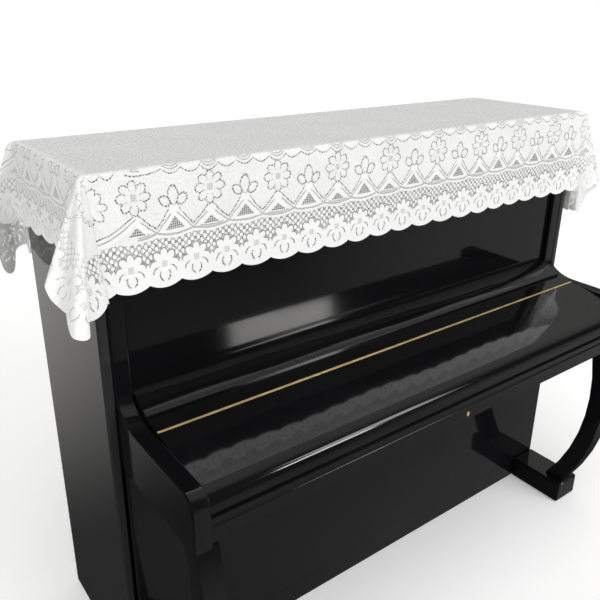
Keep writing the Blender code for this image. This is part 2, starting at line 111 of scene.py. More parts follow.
def corner_fan(rows):
    """Directions of hang that turn through 90 degrees of cloth, and their angles."""
    curve = spline_points(rows, FOLD_SAMPLES)
    small, large = FOLD_SCALES
    for _ in range(FOLD_HALVINGS):
        scale = (small + large) / 2
        fan = [lean_direction(point * scale) for point in curve]
        used = sum(fan[i].angle(fan[i + 1]) for i in range(FOLD_SAMPLES))
        if used < math.pi / 2:
            small = scale
        else:
            large = scale
    places = [0.0]
    for i in range(FOLD_SAMPLES):
        places.append(places[-1] + fan[i].angle(fan[i + 1]))
    return [place * (math.pi / 2) / places[-1] for place in places], fan


CORNER_FANS = {corner: corner_fan(rows) for corner, rows in CORNER_FOLDS.items()}


def fan_direction(corner, angle):
    places, fan = CORNER_FANS[corner]
    for i in range(FOLD_SAMPLES):
        if angle <= places[i + 1]:
            share = (angle - places[i]) / (places[i + 1] - places[i])
            return fan[i].lerp(fan[i + 1], max(share, 0.0)).normalized()
    return fan[-1].copy()


def flap_direction(side, along, outward, start_lean, end_lean, length):
    """A flap hangs with soft waves, and takes up its corners' lean at both ends."""
    near_start = math.exp(-((along / FLAP_FADE) ** 2))
    near_end = math.exp(-(((length - along) / FLAP_FADE) ** 2))
    free = max(0.0, 1.0 - near_start - near_end)
    wave = WAVE_LEAN * math.sin(2 * math.pi * along / WAVE_LENGTHS[side] + WAVE_START)
    lean = outward * (FLAP_LEAN + wave) * free + start_lean * near_start + end_lean * near_end
    return lean_direction(lean)


def hanging(start, level, final, radius, distance):
    """Where the cloth is after a bend from the level to its direction of hang."""
    bend = level.angle(final)
    turned = (final - level * level.dot(final)).normalized()
    angle = min(distance / radius, bend)
    on_bend = start + radius * (math.sin(angle) * level + (1.0 - math.cos(angle)) * turned)
    return on_bend + max(0.0, distance - radius * bend) * final


def drape(u, v):
    """From the flat cloth, laid out from the lid's middle, to its place on the piano."""
    level_u = min(max(u, -EDGE_X), EDGE_X)
    level_v = min(max(v, -EDGE_Y), EDGE_Y)
    out = Vector((u - level_u, v - level_v, 0.0))
    start = Vector((level_u, level_v, COVER_Z))
    if out.length < TINY:
        return start
    end_sign = 1 if u > 0 else -1
    side_sign = 1 if v > 0 else -1
    radius = BEND_RADIUS
    if abs(out.x) > TINY and abs(out.y) > TINY:
        angle = math.atan2(abs(out.x), abs(out.y))
        final = fan_direction((end_sign, side_sign), angle)
        radius += FOLD_PUFF * math.sin(2 * angle) ** 2
    elif abs(out.y) > TINY:
        side = "back" if side_sign > 0 else "front"
        first = CORNER_FANS[(-1, side_sign)][1][0].xy
        last = CORNER_FANS[(1, side_sign)][1][0].xy
        outward = Vector((0.0, side_sign))
        final = flap_direction(side, u + EDGE_X, outward, first, last, 2 * EDGE_X)
    else:
        side = "right" if end_sign > 0 else "left"
        first = CORNER_FANS[(end_sign, -1)][1][-1].xy
        last = CORNER_FANS[(end_sign, 1)][1][-1].xy
        outward = Vector((end_sign, 0.0))
        final = flap_direction(side, v + EDGE_Y, outward, first, last, 2 * EDGE_Y)
    return hanging(start, out.normalized(), final, radius, out.length)


# ---------------------------------------------------------------- the cover's mesh
def hem_inset(along, length, scallops):
    """How far the scalloped hem lies inside the straight edge."""
    pitch = length / scallops
    from_end = min(along, length - along)
    if from_end < pitch:
        share = min(max((from_end - CORNER_ROUND) / (pitch - CORNER_ROUND), 0.0), 1.0)
        return SCALLOP_DEPTH * (1.0 - math.cos(math.pi / 2 * share))
    return SCALLOP_DEPTH * (1.0 - abs(math.sin(math.pi * along / pitch)) ** SCALLOP_POWER)


def hem_shift(distance, inset):
    """A point near the hem moves in with it, one farther in stays."""
    if distance >= HEM_REACH:
        return distance
    return inset + distance * (HEM_REACH - inset) / HEM_REACH


def flat_place(a, b):
    """From the even grid to the cut cloth: a along, b across, from the left front corner."""
    near_a, near_b = min(a, COVER_LENGTH - a), min(b, COVER_WIDTH - b)
    in_a = hem_shift(near_a, hem_inset(b, COVER_WIDTH, SCALLOPS_SHORT))
    in_b = hem_shift(near_b, hem_inset(a, COVER_LENGTH, SCALLOPS_LONG))
    if in_a < CORNER_ROUND and in_b < CORNER_ROUND:
        p, q = 1.0 - in_a / CORNER_ROUND, 1.0 - in_b / CORNER_ROUND
        in_a = CORNER_ROUND * (1.0 - p * math.sqrt(1.0 - q * q / 2))
        in_b = CORNER_ROUND * (1.0 - q * math.sqrt(1.0 - p * p / 2))
    flat_a = in_a if a <= COVER_LENGTH / 2 else COVER_LENGTH - in_a
    flat_b = in_b if b <= COVER_WIDTH / 2 else COVER_WIDTH - in_b
    return flat_a, flat_b


def add_object(name, data):
    item = bpy.data.objects.new(name, data)
    bpy.context.scene.collection.objects.link(item)
    return item


def add_mesh_object(name, bm):
    mesh = bpy.data.meshes.new(name)
    bm.to_mesh(mesh)
    bm.free()
    return add_object(name, mesh)


def make_cover():
    columns = SCALLOPS_LONG * CELLS_A_SCALLOP
    rows = SCALLOPS_SHORT * CELLS_A_SCALLOP
    bm = bmesh.new()
    flat_layer = bm.loops.layers.uv.new("flat")
    grid, flat_of = [], {}
    for j in range(rows + 1):
        line = []
        for i in range(columns + 1):
            a, b = flat_place(COVER_LENGTH * i / columns, COVER_WIDTH * j / rows)
            vert = bm.verts.new(drape(HEM_LEFT + a, HEM_FRONT + b))
            flat_of[vert] = (a / COVER_LENGTH, b / COVER_WIDTH)
            line.append(vert)
        grid.append(line)
    for front, back in zip(grid, grid[1:]):
        for i in range(columns):
            face = bm.faces.new((front[i], front[i + 1], back[i + 1], back[i]))
            face.smooth = True
            for loop in face.loops:
                loop[flat_layer].uv = flat_of[loop.vert]
    bm.normal_update()
    return add_mesh_object("lace_sheet", bm)


# ---------------------------------------------------------------- formulas as nodes
class Term:
    """A number that varies over a surface; sums and functions of it become nodes."""

    def __init__(self, tree, socket):
        self.tree, self.socket = tree, socket

    def make(self, operation, *others):
        node = self.tree.nodes.new("ShaderNodeMath")
        node.operation = operation
        for slot, value in zip(node.inputs, (self,) + others):
            if isinstance(value, Term):
                self.tree.links.new(value.socket, slot)
            else:
                slot.default_value = value
        return Term(self.tree, node.outputs[0])

    def __add__(self, other):
        return self.make("ADD", other)

    def __sub__(self, other):
        return self.make("SUBTRACT", other)

    def __mul__(self, other):
        return self.make("MULTIPLY", other)

    def __truediv__(self, other):
        return self.make("DIVIDE", other)

    def __abs__(self):
        return self.make("ABSOLUTE")

    def less(self, other):
        return self.make("LESS_THAN", other)

    def more(self, other):
        return self.make("GREATER_THAN", other)

    def low(self, other):
        return self.make("MINIMUM", other)

    def high(self, other):
        return self.make("MAXIMUM", other)

    def power(self, other):
        return self.make("POWER", other)

    def centred(self, pitch, start=0.0):
        """The signed distance from the nearest of the places start + k * pitch."""
        return (self - start).make("WRAP", pitch / 2, -pitch / 2)

    def from_whole(self):
        """The signed distance from the nearest whole number."""
        return self.make("WRAP", 0.5, -0.5)

    def wave(self, pitch):
        return (self * (2 * math.pi / pitch)).make("SINE")

    def fade(self, inner, outer):
        """1 up to inner, 0 from outer on, smooth between."""
        node = self.tree.nodes.new("ShaderNodeMapRange")
        node.interpolation_type = "SMOOTHSTEP"
        self.tree.links.new(self.socket, node.inputs["Value"])
        node.inputs["From Min"].default_value = inner
        node.inputs["From Max"].default_value = outer
        node.inputs["To Min"].default_value = 1.0
        node.inputs["To Max"].default_value = 0.0
        return Term(self.tree, node.outputs["Result"])

    def rise(self, inner, outer):
        """0 up to inner, 1 from outer on, smooth between."""
        return (self * -1.0).fade(-outer, -inner)


def one_minus(term):
    return term * -1.0 + 1.0


def choose(test, yes, no):
    """yes where the test is 1, no where it is 0."""
    if not isinstance(yes, Term) and not isinstance(no, Term):
        return test * (yes - no) + no
    difference = yes - no if isinstance(yes, Term) else no * -1.0 + yes
    return difference * test + no


def reach(x, y):
    return (x * x + y * y).make("SQRT")


def oval(x, y, half_x, half_y):
    """1 on the oval's line, 0 in its middle."""
    return reach(x / half_x, y / half_y)


def petals(x, y, count, middle, half_long, half_wide):
    """The nearest petal of a flower as an oval, and the distance from its middle."""
    angle = x.make("ARCTAN2", y).centred(2 * math.pi / count)
    radius = reach(x, y)
    return oval(radius * angle.make("COSINE") - middle, radius * angle.make("SINE"),
        half_long, half_wide), radius


def new_material(name):
    material = bpy.data.materials.new(name)
    material.use_nodes = True
    tree = material.node_tree
    return material, tree, tree.nodes["Principled BSDF"]


def object_place(tree):
    return tree.nodes.new("ShaderNodeTexCoord").outputs["Object"]


def split_place(tree, place):
    split = tree.nodes.new("ShaderNodeSeparateXYZ")
    tree.links.new(place, split.inputs["Vector"])
    return Term(tree, split.outputs["X"]), Term(tree, split.outputs["Y"])


def noise_term(tree, coordinates, scale, detail, stretch=None):
    node = tree.nodes.new("ShaderNodeTexNoise")
    node.inputs["Scale"].default_value = scale
    node.inputs["Detail"].default_value = detail
    if stretch:
        mapping = tree.nodes.new("ShaderNodeMapping")
        mapping.inputs["Scale"].default_value = stretch
        tree.links.new(coordinates, mapping.inputs["Vector"])
        coordinates = mapping.outputs["Vector"]
    tree.links.new(coordinates, node.inputs["Vector"])
    return Term(tree, node.outputs["Fac"])


def add_bump(tree, shader, height, strength, distance):
    node = tree.nodes.new("ShaderNodeBump")
    node.inputs["Strength"].default_value = strength
    node.inputs["Distance"].default_value = distance
    tree.links.new(height.socket, node.inputs["Height"])
    tree.links.new(node.outputs["Normal"], shader.inputs["Normal"])


def mix_colour(tree, share, low, high):
    node = tree.nodes.new("ShaderNodeMix")
    node.data_type = "RGBA"
    tree.links.new(share.socket, node.inputs["Factor"])
    node.inputs["A"].default_value = (*low, 1.0)
    node.inputs["B"].default_value = (*high, 1.0)
    return node.outputs["Result"]


# ---------------------------------------------------------------- the lace's measures
# All in millimetres of flat cloth. d is the distance from the nearest hem, and e the
# distance from the nearest hem that runs the other way. A flower is its number of
# petals, their middle's distance from its own, and their half length and half width.
# A leaf or ring is its half width and half height.
LENGTH_MM, WIDTH_MM = COVER_LENGTH * 1000, COVER_WIDTH * 1000
LEFT_DROP_MM, FRONT_DROP_MM = LEFT_DROP * 1000, FRONT_DROP * 1000
FLAT_STRETCH = (2.2, 1.0, 1.0)          # makes noise even over the flat cloth
WANDER = 4.0
THIN_LINE, SOFT_LINE = (0.9, 1.9), (0.9, 2.0)

KNIT = 2.5
MESH_PITCH = 9.2
BEAD_PITCHES = (5.6, 5.0)
BEAD_TURN = (0.92, 0.39)

REPEAT_LONG, REPEAT_SHORT = 159.0, 175.5
PATTERN_SLIP = 7.0
LAST_DAISY = 274.5
FAR_AWAY = 300.0

DAISY_D = 182.0
DAISY = (8, 21.6, 10.9, 8.5)
CORNER_FLOWER_E, CORNER_FLOWER_D = 183.0, 174.0
CORNER_FLOWER = (8, 19.5, 14.0, 7.6)
CORNER_FLOWER_ZONE = DAISY_D + 48.0
TREFOIL_D = 176.0
UPRIGHT_LEAF = (11.0, 19.5)
LEAF_TAPER = 0.035
SIDE_LEAF_OUT, SIDE_LEAF_D = 18.0, 167.5
SIDE_LEAF_TILT = math.radians(48)
SIDE_LEAF = (8.6, 12.5)

ZIGZAG_D, ZIGZAG_CLIMB, ZIGZAG_POWER = 117.0, 34.5, 1.15
TOP_AT_DAISY, TOP_AT_TREFOIL = 3.5, 11.0
CORNER_D, CORNER_FALL, CORNER_REACH, CORNER_POWER = 115.0, 36.0, 84.0, 1.7
CORNER_CLIMB_E, CORNER_CLIMB = 188.0, 1.9

BAND_D = 108.5
TREFOIL_BAND = (1.04, 6.5)              # slope of the climb, sag past the valley
DAISY_BAND = (0.86, 6.0)
BAND_SLANT = 0.75                       # distance from a slanting line, for its height
SECOND_BAND = 4.5
CORNER_BAND = 9.0
TREFOIL_NET = (1.19, 137.0, 112.0)      # slope, top and foot of a triangle of net
DAISY_NET = (0.83, 126.0, 110.0)

FESTOON_D, FESTOON_DIP, FESTOON_DAISY_DIP = 227.5, 10.0, 2.5
FESTOON_START = 261.0
WIDE_ARC_D, WIDE_ARC_DIP = 228.5, 8.0
WIDE_ARC_MIDDLE, WIDE_ARC_HALF, WIDE_ARC_END = 294.4, 39.75, 334.1
SMALL_ARC_D, SMALL_ARC_DIP = 231.0, 10.0
SMALL_ARC_PITCH, SMALL_ARC_CUSP = 26.0, 198.0
SMALL_ARCS_START, SMALL_ARCS_END = 172.0, 238.0
DOUBLES = (8.5, 14.5)

EDGE_DAISY_D = 48.0
EDGE_DAISY = (8, 20.0, 10.2, 7.3)
CORNER_LOBE_E = 50.0
NET_TOP, NET_TOP_SLOPE = 94.0, 0.15
RINGS_A_SCALLOP = 5.0
RING_ROWS, RING_START = 14.2, 1.5
RING = (3.7, 4.4)
LOW_PETAL_D, LOW_PETAL = 26.0, (10.6, 12.5)
SLANT_PETAL_OUT, SLANT_PETAL = 20.0, (12.5, 8.8)
DIAGONAL = 0.707                        # cosine of 45 degrees, to turn a petal by it

BORDER_END, BORDER_DIP = 246.0, 5.0
FAN_PITCHES, FAN_FOOT, FAN_RINGS = (92.0, 70.0), 22.0, 7.0

# How open each part is: what varies with its texture, and the least.
OPEN_PINHOLES = (0.64, 0.24)
OPEN_TRIANGLES = (0.62, 0.22)
OPEN_SQUARES = (0.20, 0.20)
OPEN_EDGE_SQUARES = (0.20, 0.16)
OPEN_BANDS = (0.20, 0.35)
OPEN_SLITS = (0.46, 0.38)
OPEN_NET = 0.76
LYING_CLOSED, LEFT_END_CLOSED = 0.80, 0.42

LACE_GREY, LACE_WHITE = (0.87, 0.87, 0.865), (0.955, 0.955, 0.945)
LACE_BUMP = (0.8, 0.0014)


# ---------------------------------------------------------------- the lace's pattern
class Cloth:
    """The places and textures of the flat cloth that the pattern is drawn from."""

    def __init__(self, tree):
        source = tree.nodes.new("ShaderNodeUVMap")
        source.uv_map = "flat"
        self.tree, self.flat = tree, source.outputs["UV"]
        share_x, share_y = split_place(tree, self.flat)
        self.x = share_x * LENGTH_MM + (self.noise(36.0, 1.0) - 0.5) * WANDER
        self.y = share_y * WIDTH_MM + (self.noise(31.0, 1.0) - 0.5) * WANDER
        self.place_border()
        self.place_textures()

    def noise(self, scale, detail):
        return noise_term(self.tree, self.flat, scale, detail, FLAT_STRETCH)

    def place_border(self):
        """Border coordinates, mitred at 45 degrees, and the nearest trefoil and daisy."""
        self.to_end = abs(self.x - LENGTH_MM / 2) * -1.0 + LENGTH_MM / 2
        self.to_side = abs(self.y - WIDTH_MM / 2) * -1.0 + WIDTH_MM / 2
        self.on_left = self.x.less(LENGTH_MM / 2)
        self.on_long = self.to_side.less(self.to_end)
        self.d = self.to_side.low(self.to_end)
        self.e = self.to_side.high(self.to_end)
        slip = self.on_long * (self.on_left * (2 * PATTERN_SLIP) - PATTERN_SLIP)
        self.place = self.e + slip
        self.run = choose(self.on_long, LENGTH_MM / 2, WIDTH_MM / 2) - self.place
        self.repeat = choose(self.on_long, REPEAT_LONG, REPEAT_SHORT)
        self.in_corner = self.place.less(LAST_DAISY)
        phase = one_minus(self.on_long) * (REPEAT_SHORT / 2)
        cell = abs(((self.run - phase) / self.repeat).from_whole()) * self.repeat
        self.from_trefoil = choose(self.in_corner, FAR_AWAY, cell)
        self.from_daisy = choose(self.in_corner, self.place * -1.0 + LAST_DAISY,
            self.repeat * 0.5 - cell)

    def place_textures(self):
        """Knit lattice, net, beads and noise that break up the pattern's lines."""
        x, y = self.x, self.y
        holes = abs(x.wave(KNIT * 2)) * abs(y.wave(KNIT * 2))
        self.lattice = holes.rise(0.30, 0.62)
        mesh = abs(x.wave(MESH_PITCH)) * abs(y.wave(MESH_PITCH))
        self.mesh_holes = mesh.rise(0.22, 0.60)
        along, across = BEAD_TURN
        beads = (x * along + y * across).wave(BEAD_PITCHES[0])
        beads = beads + (y * along - x * across).wave(BEAD_PITCHES[1])
        self.beads = beads.rise(-0.6, 0.9)
        self.cloudy = self.noise(120.0, 2.0)
        self.grain = self.noise(260.0, 2.0).rise(0.36, 0.66)
        self.cloud = self.cloudy.rise(0.40, 0.64)


def flower_lines(cloth):
    """Outlines of the big daisies, their corner fellow and the trefoils."""
    d = cloth.d
    near_corner = cloth.e.less(CORNER_FLOWER_ZONE)
    up = d - DAISY_D
    flower, flower_r = petals(cloth.from_daisy, up, *DAISY)
    outline = abs(flower - 1.0).fade(0.09, 0.21) * flower_r.rise(12.5, 15.5)
    leaf, leaf_r = petals(cloth.e - CORNER_FLOWER_E, d - CORNER_FLOWER_D, *CORNER_FLOWER)
    leaf_line = abs(leaf - 1.0).fade(0.07, 0.18) * leaf_r.rise(11.0, 14.0)
    outline = choose(near_corner, leaf_line, outline)
    square = cloth.from_daisy.high(abs(up)).fade(5.5, 7.0) * one_minus(near_corner)

    stem = (d * -1.0 + TREFOIL_D).high(0.0) * LEAF_TAPER + 1.0
    upright = oval(cloth.from_trefoil * stem, d - TREFOIL_D, *UPRIGHT_LEAF)
    side_x, side_y = cloth.from_trefoil - SIDE_LEAF_OUT, d - SIDE_LEAF_D
    tilt_c, tilt_s = math.cos(SIDE_LEAF_TILT), math.sin(SIDE_LEAF_TILT)
    lean_long = side_x * tilt_s + side_y * tilt_c
    lean_wide = side_x * tilt_c - side_y * tilt_s
    tilted = oval(lean_wide, lean_long, *SIDE_LEAF)
    upright_line = abs(upright - 1.0).fade(0.07, 0.17) * d.rise(155.0, 160.0)
    tilted_line = abs(tilted - 1.0).fade(0.10, 0.24) * upright.rise(0.95, 1.10)
    return outline.high(upright_line).high(tilted_line), square


def zigzag(cloth):
    """A line of pinholes with a valley between each daisy and trefoil, its height above
    a place, and what turns that height into a distance."""
    half = cloth.repeat * 0.25
    daisy_side = (half - cloth.from_daisy).high(0.0) / (half - TOP_AT_DAISY)
    trefoil_side = (half - cloth.from_trefoil).high(0.0) / (half - TOP_AT_TREFOIL)
    climb = daisy_side.high(trefoil_side).power(ZIGZAG_POWER) * ZIGZAG_CLIMB
    near_daisy = one_minus((cloth.from_daisy / CORNER_REACH).low(1.0))
    corner_fall = near_daisy.power(CORNER_POWER) * CORNER_FALL
    corner_climb = (cloth.e * -1.0 + CORNER_CLIMB_E).high(0.0) * CORNER_CLIMB
    corner_line = corner_fall + corner_climb + CORNER_D
    below = choose(cloth.in_corner, corner_line, climb + ZIGZAG_D) - cloth.d
    steep = cloth.in_corner * 0.10 + 0.70
    top_open = cloth.from_daisy.rise(1.5, 4.0) * cloth.from_trefoil.rise(9.5, 12.0)
    reach_up = cloth.d - cloth.from_daisy.rise(28.0, 34.0) * 4.5
    line = (abs(below) * steep).fade(*THIN_LINE) * reach_up.fade(152.0, 156.0) * top_open
    return line, below, steep


def band_line(cloth, from_motif, slope, sag):
    """How far a band that climbs to one kind of motif lies above a place."""
    half = cloth.repeat * 0.25
    from_valley = (from_motif - half).high(0.0) / half
    arm = (half - from_motif).high(0.0) * slope
    dip = one_minus(one_minus(from_valley).power(2.0)) * sag
    return arm - dip + BAND_D - cloth.d


def band_lines(cloth, below):
    """Interlaced double bands: thin grey lines in the dense white."""
    to_trefoil = band_line(cloth, cloth.from_trefoil, *TREFOIL_BAND)
    to_daisy = band_line(cloth, cloth.from_daisy, *DAISY_BAND)
    grey_a = (abs(to_trefoil) * BAND_SLANT).fade(*SOFT_LINE) * cloth.d.fade(140.0, 146.0)
    grey_b = (abs(to_daisy) * BAND_SLANT).fade(*SOFT_LINE) * cloth.d.fade(132.0, 138.0)
    second = abs(to_trefoil + SECOND_BAND).fade(0.8, 1.8) * cloth.from_daisy.fade(24.0, 30.0)
    corner_grey = abs(below - CORNER_BAND).fade(*SOFT_LINE)
    bands = choose(cloth.in_corner, corner_grey, grey_a.high(grey_b).high(second))
    return bands * cloth.d.rise(98.0, 100.0)


def net_triangle(cloth, from_motif, slope, top, foot):
    """Above 0 inside a triangle of net under one kind of motif."""
    return (from_motif * -slope + top - cloth.d).low(cloth.d - foot)


def festoon_lines(cloth):
    """Arcs that close the border, small arcs at its corner, double arcs farther in, and
    the arcs' dip."""
    arc_x = abs(cloth.run.centred(REPEAT_LONG / 4)) / (REPEAT_LONG / 8)
    over_daisy = cloth.from_daisy.less(REPEAT_LONG / 8)
    dip = one_minus(arc_x * arc_x)
    festoon_d = dip * -FESTOON_DIP + FESTOON_D - over_daisy * dip * FESTOON_DAISY_DIP
    wide_x = (cloth.place - WIDE_ARC_MIDDLE) / WIDE_ARC_HALF
    wide_d = one_minus(wide_x * wide_x) * -WIDE_ARC_DIP + WIDE_ARC_D
    festoon = cloth.d - choose(cloth.place.less(WIDE_ARC_END), wide_d, festoon_d)
    line = abs(festoon).fade(*THIN_LINE) * cloth.place.more(FESTOON_START)

    small_x = cloth.to_end.centred(SMALL_ARC_PITCH, SMALL_ARC_CUSP) / (SMALL_ARC_PITCH / 2)
    small_d = cloth.to_side + one_minus(small_x * small_x) * SMALL_ARC_DIP - SMALL_ARC_D
    small_arcs = abs(small_d).fade(*THIN_LINE) * cloth.to_end.less(SMALL_ARCS_END)
    small_arcs = small_arcs * cloth.to_end.more(SMALL_ARCS_START)

    alternate = abs(cloth.run.centred(REPEAT_LONG / 2)).less(REPEAT_LONG / 8)
    near, far = (abs(festoon - shift).fade(*THIN_LINE) * alternate for shift in DOUBLES)
    doubles = near.high(far) * arc_x.fade(0.80, 0.95) * one_minus(cloth.in_corner)
    return line, small_arcs, doubles, dip


def edge_motifs(cloth, net_top):
    """Solid daisies, one over each scallop, their slits, and the net round them."""
    d, e = cloth.d, cloth.e
    pitch_long, pitch_short = LENGTH_MM / SCALLOPS_LONG, WIDTH_MM / SCALLOPS_SHORT
    pitch = choose(cloth.on_long, pitch_long, pitch_short)
    lobe = (e / pitch - 0.5).from_whole() * pitch
    lobe = choose(e.less(pitch_long), e - CORNER_LOBE_E, lobe)
    edge_up = d - EDGE_DAISY_D
    edge, edge_r = petals(lobe, edge_up, *EDGE_DAISY)
    square = abs(lobe).high(abs(edge_up)).fade(5.0, 7.0)

    ring_pitch = pitch / RINGS_A_SCALLOP
    ring_x = (e / ring_pitch).from_whole() * ring_pitch
    ring_y = (d - RING_START).centred(RING_ROWS)
    half_x = (e / ring_pitch + 0.5).from_whole() * ring_pitch
    half_y = (d - RING_START).centred(RING_ROWS, RING_ROWS / 2)
    ring = oval(ring_x, ring_y, *RING).low(oval(half_x, half_y, *RING))
    gaps = ring.rise(0.90, 1.12) * (ring.fade(1.40, 1.72) * 0.75 + 0.25)
    gaps = gaps * (cloth.cloudy.rise(0.34, 0.66) * 0.45 + 0.55)
    net_zone = (net_top - d).rise(-0.6, 0.6) * d.rise(49.0, 53.0)
    net_zone = net_zone * edge.rise(1.0, 1.14) * edge_r.rise(16.0, 18.5)
    notch = abs(edge - 1.12).fade(0.09, 0.20) * edge_r.rise(18.0, 20.5) * d.rise(44.0, 50.0)
    net = (gaps.high(edge_r.fade(25.5, 28.5) * 0.8) * net_zone).high(notch * 0.85)

    from_low = d - LOW_PETAL_D
    slits = abs(oval(lobe, from_low, *LOW_PETAL) - 1.0).fade(0.09, 0.22)
    slits = slits * from_low.fade(6.0, 9.0) * abs(lobe).rise(1.5, 6.0)
    slant_long = (abs(lobe) - edge_up) * DIAGONAL
    slant_wide = (abs(lobe) + edge_up) * DIAGONAL
    slant = oval(slant_long - SLANT_PETAL_OUT, slant_wide, *SLANT_PETAL)
    outer = abs(slant - 1.0).fade(0.10, 0.23)
    slits = slits.high(outer * slant_wide.rise(3.0, 6.0) * edge_up.fade(-6.0, -3.0))
    return net, slits, square


def opened(shape, texture, amounts):
    varied, least = amounts
    return shape * (texture * varied + least)


def lace_openness(cloth):
    """How open the lace is, where it is dense, its ribbons and its bands."""
    beads, mesh_holes = cloth.beads, cloth.mesh_holes
    outline, square = flower_lines(cloth)
    zigzag_line, below, steep = zigzag(cloth)
    bands = band_lines(cloth, below)
    big = net_triangle(cloth, cloth.from_trefoil, *TREFOIL_NET)
    small = net_triangle(cloth, cloth.from_daisy, *DAISY_NET)
    triangle = big.high(small).rise(-0.4, 1.0)
    festoon_line, small_arcs, doubles, dip = festoon_lines(cloth)
    pinholes = outline.high(zigzag_line).high(festoon_line).high(small_arcs)
    bands = bands.high(doubles)
    net_top = abs(cloth.run.centred(REPEAT_LONG / 2)) * NET_TOP_SLOPE + NET_TOP
    net, slits, edge_square = edge_motifs(cloth, net_top)

    # From dense ground to open net.
    share = opened(pinholes, beads, OPEN_PINHOLES)
    share = share.high(opened(triangle, mesh_holes, OPEN_TRIANGLES))
    share = share.high(opened(square, mesh_holes, OPEN_SQUARES))
    share = share.high(opened(edge_square, mesh_holes, OPEN_EDGE_SQUARES))
    share = share.high(opened(bands, beads, OPEN_BANDS))
    share = share.high(net * OPEN_NET).high(opened(slits, beads, OPEN_SLITS))
    ribbons = below.rise(1.0, 2.5) * (cloth.d - net_top).rise(-0.5, 1.0) * one_minus(triangle)
    ribbons = ribbons * one_minus(cloth.in_corner * (below * steep).rise(15.0, 17.0))
    dense = ribbons.high(cloth.d.fade(90.0, 97.0))
    ground = cloth.lattice * cloth.grain * 0.15 + cloth.cloud * 0.05
    share = share.high(ground * one_minus(dense))

    # The pattern hardly shows where it lies on the lid, and is fainter on the left end: fewer
    # open holes there are painted shade, standing in for the shade on the lace and the glare
    # on the side panel behind it.
    lying = cloth.to_end.rise(LEFT_DROP_MM - 6.0, LEFT_DROP_MM + 12.0) * cloth.on_left
    lying = lying * cloth.to_side.rise(FRONT_DROP_MM - 4.0, FRONT_DROP_MM + 4.0)
    shaded_left_end = one_minus(cloth.on_long) * cloth.on_left * cloth.to_end.fade(186.0, 196.0)
    share = share * one_minus(lying * LYING_CLOSED) * (shaded_left_end * -LEFT_END_CLOSED + 1.0)

    # The plain field: a dense fine knit with faint fans of ticks.
    field = (cloth.d - (dip * -BORDER_DIP + BORDER_END)).rise(-1.5, 1.5)
    fan_x = cloth.x.centred(FAN_PITCHES[0])
    fan_y = cloth.y.centred(FAN_PITCHES[1], FAN_PITCHES[1] / 2)
    ticks = cloth.lattice * (reach(fan_x, fan_y + FAN_FOOT).wave(FAN_RINGS) * 0.5 + 0.5)
    plain_share = ticks * 0.14 + cloth.grain * 0.19 + cloth.cloud * 0.12
    return share.high(field.high(lying) * plain_share), dense, ribbons, bands


def lace_material():
    material, tree, shader = new_material("white_lace_knit")
    cloth = Cloth(tree)
    open_share, dense, ribbons, bands = lace_openness(cloth)
    alpha = one_minus(open_share)
    patches = cloth.noise(9.0, 3.0)
    tone = (patches.rise(0.35, 0.70) * 0.45 + 0.15).high(dense * 0.52)
    colour = mix_colour(tree, tone, LACE_GREY, LACE_WHITE)
    yarn = cloth.x.wave(KNIT) * cloth.y.wave(KNIT) * 0.5 + 0.5
    raised = yarn * 0.25 + alpha * 0.9 + ribbons * 0.5
    raised = raised + cloth.grain * 0.35 + cloth.cloud * 0.3 - bands * 0.5
    rough = patches * 0.15 + 0.78
    tree.links.new(colour, shader.inputs["Base Color"])
    tree.links.new(alpha.socket, shader.inputs["Alpha"])
    tree.links.new(rough.socket, shader.inputs["Roughness"])
    add_bump(tree, shader, raised, *LACE_BUMP)
    shader.inputs["Sheen Weight"].default_value = 0.25
    shader.inputs["Sheen Roughness"].default_value = 0.5
    shader.inputs["Specular IOR Level"].default_value = 0.25
    return material


# ---------------------------------------------------------------- piano finishes
POLISH_DEEP, POLISH_HAZY = (0.0042, 0.0042, 0.0048), (0.0075, 0.0078, 0.0090)
# Painted glare: the side panels' polish is a lighter copy of the black polish, standing in
# for the pale reflection on them.
SIDE_GLARE_LIFT = 0.02
BRASS_BRIGHT, BRASS_DULL = (0.92, 0.70, 0.36), (0.74, 0.50, 0.22)
KNUCKLE_PITCH = 0.0254
KNUCKLE_GAP = (0.0006, 0.0012)


def polish_material(name, painted_glare=0.0):
    material, tree, shader = new_material(name)
    place = object_place(tree)
    haze = noise_term(tree, place, 2.3, 3.0)
    dust = noise_term(tree, place, 160.0, 2.0)
    share = haze.rise(0.40, 0.75) * 0.6 + dust.rise(0.62, 0.80) * 0.4
    # The lift lightens the whole colour: painted glare from a reflection on the polish.
    low = [part + painted_glare for part in POLISH_DEEP]
    high = [part + painted_glare for part in POLISH_HAZY]
    tree.links.new(mix_colour(tree, share, low, high), shader.inputs["Base Color"])
    rough = haze * 0.05 + dust.rise(0.55, 0.85) * 0.04 + 0.045
    tree.links.new(rough.socket, shader.inputs["Roughness"])
    ripple = noise_term(tree, place, 7.0, 1.0) + noise_term(tree, place, 210.0, 1.0) * 0.03
    add_bump(tree, shader, ripple, 0.05, 0.004)
    shader.inputs["Coat Weight"].default_value = 0.3
    shader.inputs["Coat Roughness"].default_value = 0.03
    shader.inputs["Specular IOR Level"].default_value = 0.45
    return material


def brass_material():
    """Brass with fine gaps between the hinge's knuckles."""
    material, tree, shader = new_material("brass_metal")
    place = object_place(tree)
    tarnish = noise_term(tree, place, 38.0, 3.0)
    scratch = noise_term(tree, place, 60.0, 2.0, (0.2, 12.0, 12.0))
    colour = mix_colour(tree, tarnish.rise(0.35, 0.75), BRASS_BRIGHT, BRASS_DULL)
    tree.links.new(colour, shader.inputs["Base Color"])
    along, _ = split_place(tree, place)
    knuckle = abs(along.centred(KNUCKLE_PITCH)).fade(*KNUCKLE_GAP)
    rough = scratch * 0.14 + knuckle * 0.3 + 0.22
    tree.links.new(rough.socket, shader.inputs["Roughness"])
    add_bump(tree, shader, scratch * 0.2 - knuckle, 0.6, 0.0006)
    shader.inputs["Metallic"].default_value = 0.55
    return material


